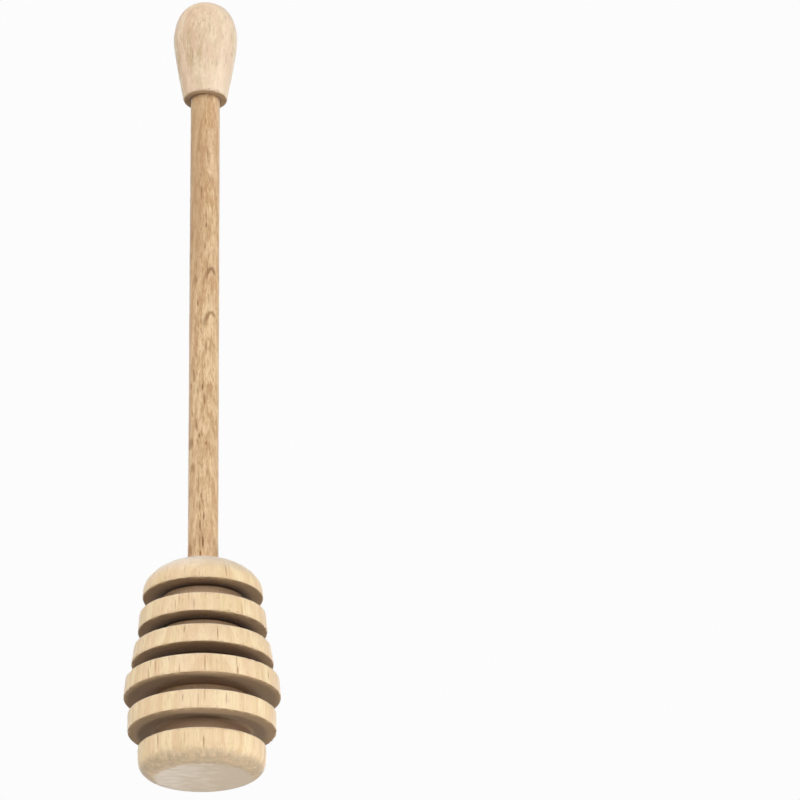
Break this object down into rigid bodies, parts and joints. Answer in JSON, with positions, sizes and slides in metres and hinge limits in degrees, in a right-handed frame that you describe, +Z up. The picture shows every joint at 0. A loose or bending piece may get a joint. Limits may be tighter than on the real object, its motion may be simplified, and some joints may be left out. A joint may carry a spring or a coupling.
{
  "type": "honey dipper",
  "caption": "Turned wooden honey dipper: a ridged, domed head and a pear-shaped knob on the two ends of a straight round stick.",
  "frame": {"origin": "centre of the flat under the foot of the head, where the dipper rests when it stands upright", "axes": "+Z runs up the common axis of head, stick and knob, from the foot to the tip of the knob; X and Y are free, because all three pieces are round"},
  "size_m": [0.0314, 0.0314, 0.175],
  "materials": {
    "head_beech": "fine turned and sanded, unvarnished, pale",
    "stick_beech": "sanded, unvarnished, warm tan with dark pores",
    "knob_beech": "sanded smooth, unvarnished, pale pinkish"
  },
  "bodies": {
    "root": {"grooved_head": "head_beech", "stick": "stick_beech", "knob": "knob_beech"}
  },
  "joints": []
}
